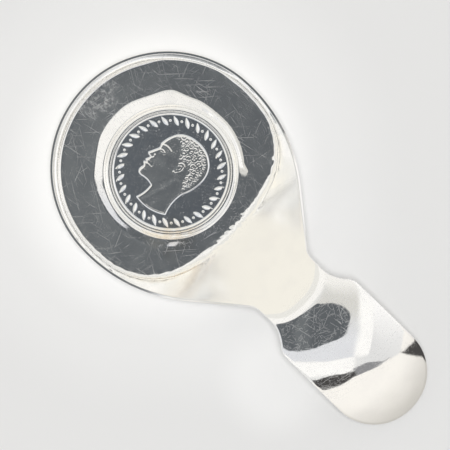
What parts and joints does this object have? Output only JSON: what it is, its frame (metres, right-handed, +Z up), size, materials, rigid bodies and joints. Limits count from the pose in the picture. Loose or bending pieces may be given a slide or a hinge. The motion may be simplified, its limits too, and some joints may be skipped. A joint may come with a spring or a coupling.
{
  "type": "drinking scoop",
  "caption": "Shallow steep-walled metal drinking scoop whose wall runs up a ramp into a broad arched thumb handle, with a coin held in a collar on the bowl's floor.",
  "frame": {"origin": "on the table, at the centre of the bounding box's underside", "axes": "+X along the handle towards its tip, +Y across, +Z up out of the bowl"},
  "size_m": [0.1252, 0.0636, 0.0198],
  "materials": {
    "silver_sheet": "polished silver sheet with fine wear scratches",
    "coin_silver": "struck silver, bright field",
    "silver_collar": "burnished silver, faintly warm at the solder seam"
  },
  "bodies": {
    "root": {"scoop_body": "silver_sheet", "coin": "coin_silver", "coin_collar": "silver_collar"}
  },
  "joints": []
}
